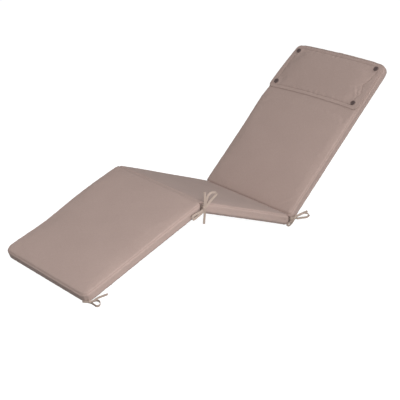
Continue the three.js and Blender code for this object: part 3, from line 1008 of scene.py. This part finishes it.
# %% Rib the tape
rib_pitch = 0.0008
tape_thread_pitch = 0.0010
tape_dark = (0.31, 0.238, 0.200, 1)
tape_light = (0.46, 0.372, 0.315, 1)
tape = Finish("tie tape")
tape_along = tape.attribute("along")
tape_across = tape.attribute("across")
ribs = (tape_along * (math.pi / rib_pitch)).sum("SINE").sum("ABSOLUTE")
threads = (tape_across * (math.pi / tape_thread_pitch)).sum("SINE").sum("ABSOLUTE")
tape_noise = tape.add(
    "ShaderNodeTexNoise", {},
    {"Vector": tape.add("ShaderNodeTexCoord", output="Object"), "Scale": 160.0, "Detail": 3.0},
)
tape_height = ribs * 0.7 + threads * 0.3
tape_tone = (0.35 + tape_height * 0.20 + (tape_noise - 0.5) * 0.4).sum("MAXIMUM", 0).sum("MINIMUM", 1)
tape.feed(tape.shader.inputs["Base Color"], tape.blend(tape_tone, tape_dark, tape_light))
tape.feed(tape.shader.inputs["Roughness"], 0.80 + (tape_noise - 0.5) * 0.15)
tape.feed(tape.shader.inputs["Normal"], tape.add(
    "ShaderNodeBump", {}, {"Strength": 0.2, "Distance": 0.0003, "Height": tape_height},
))
tape.shader.inputs["Sheen Weight"].default_value = 0.04
tape.shader.inputs["Specular IOR Level"].default_value = 0.25
tape_things = [piece for piece, _, _ in tape_pieces.values()]
tape_things += [knot["piece"] for knot in knots.values()]
tape_things.append(foot_stub)
for piece in tape_things:
    piece.data.materials.append(tape.material)
for knot in knots.values():
    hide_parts(knot["node"])
print("tape finish on", len(tape_things), "pieces")

# %% [markdown]
# ### Stud caps
#
# The caps are pressed metal under a thin grey-brown enamel, satin rather than glossy, its tone a little
# uneven.

# %% Enamel the caps
enamel_dark = (0.070, 0.045, 0.042, 1)
enamel_light = (0.125, 0.086, 0.080, 1)
enamel = Finish("stud enamel")
cap_noise = enamel.add(
    "ShaderNodeTexNoise", {},
    {"Vector": enamel.add("ShaderNodeTexCoord", output="Object"), "Scale": 220.0, "Detail": 4.0},
)
enamel.feed(enamel.shader.inputs["Base Color"], enamel.blend(cap_noise, enamel_dark, enamel_light))
enamel.feed(enamel.shader.inputs["Roughness"], 0.38 + (cap_noise - 0.5) * 0.2)
enamel.feed(enamel.shader.inputs["Normal"], enamel.add(
    "ShaderNodeBump", {}, {"Strength": 0.15, "Distance": 0.0002, "Height": cap_noise},
))
for cap in caps:
    cap.data.materials.append(enamel.material)
print("enamel on", len(caps), "caps")

# %% [markdown]
# ## Floor and light
#
# The photo's cushion stands on plain white paper, brighter than the cloth. The paper glows a little here,
# so its shadow stays faint, and it isn't seen by the light that the cloth bounces about: the world's
# lower half gives the floor's light instead, which can then be set as low as the photo's. The room is
# brighter above than below, and large soft lamps stand round the cushion. Where the view passes the
# floor's edge, it meets a white backdrop.

# %% Lay the floor
bm = bmesh.new()
bmesh.ops.create_circle(bm, cap_ends=True, radius=30, segments=64)
floor_mesh = bpy.data.meshes.new("floor")
bm.to_mesh(floor_mesh)
bm.free()
floor = bpy.data.objects.new("floor", floor_mesh)
bpy.context.scene.collection.objects.link(floor)
floor.visible_diffuse = False
paper = Finish("floor paper")
paper.shader.inputs["Base Color"].default_value = (0.3, 0.3, 0.3, 1)
paper.shader.inputs["Roughness"].default_value = 0.9
paper.shader.inputs["Specular IOR Level"].default_value = 0.0
paper.shader.inputs["Emission Color"].default_value = (1, 1, 1, 1)
paper.shader.inputs["Emission Strength"].default_value = 0.95
floor_mesh.materials.append(paper.material)
print("floor laid")

# %% Set the lights
sky_light = 0.22
ground_light = 0.08
lamps = [
    {"name": "side_lamp", "at": (3.2, 0.3, 0.6), "size": 1.4, "watts": 26},
    {"name": "foot_lamp", "at": (1.6, -0.9, 0.9), "size": 1.0, "watts": 23},
    {"name": "head_lamp", "at": (2.4, 1.6, 2.0), "size": 1.6, "watts": 18},
    {"name": "far_lamp", "at": (-1.2, -1.4, 1.2), "size": 1.2, "watts": 11},
    {"name": "top_lamp", "at": (0.4, 1.0, 2.2), "size": 1.4, "watts": 10},
    {"name": "front_lamp", "at": (0.2, -2.2, 0.5), "size": 1.0, "watts": 5},
]
world = bpy.data.worlds.new("white room")
world.use_nodes = True
sky = world.node_tree
direction = sky.nodes.new("ShaderNodeTexCoord")
parts = sky.nodes.new("ShaderNodeSeparateXYZ")
fade = sky.nodes.new("ShaderNodeMapRange")
fade.inputs["From Min"].default_value = -0.1
fade.inputs["From Max"].default_value = 0.1
fade.inputs["To Min"].default_value = ground_light
fade.inputs["To Max"].default_value = sky_light
sky.links.new(direction.outputs["Generated"], parts.inputs[0])
sky.links.new(parts.outputs["Z"], fade.inputs["Value"])
ray = sky.nodes.new("ShaderNodeLightPath")
backdrop = sky.nodes.new("ShaderNodeMix")
backdrop.inputs["B"].default_value = 1.0
sky.links.new(ray.outputs["Is Camera Ray"], backdrop.inputs["Factor"])
sky.links.new(fade.outputs["Result"], backdrop.inputs["A"])
sky.links.new(backdrop.outputs["Result"], sky.nodes["Background"].inputs["Strength"])
sky.nodes["Background"].inputs["Color"].default_value = (1, 1, 1, 1)
bpy.context.scene.world = world
aim = Vector((0, 0, 0.2))
for lamp in lamps:
    data = bpy.data.lights.new(lamp["name"], "AREA")
    data.shape = "DISK"
    data.size = lamp["size"]
    data.energy = lamp["watts"]
    light = bpy.data.objects.new(lamp["name"], data)
    bpy.context.scene.collection.objects.link(light)
    light.location = lamp["at"]
    light.visible_camera = False
    light.rotation_euler = (aim - light.location).to_track_quat("-Z", "Y").to_euler()
bpy.context.scene.view_settings.view_transform = "Standard"
print("lamps:", [lamp["name"] for lamp in lamps])
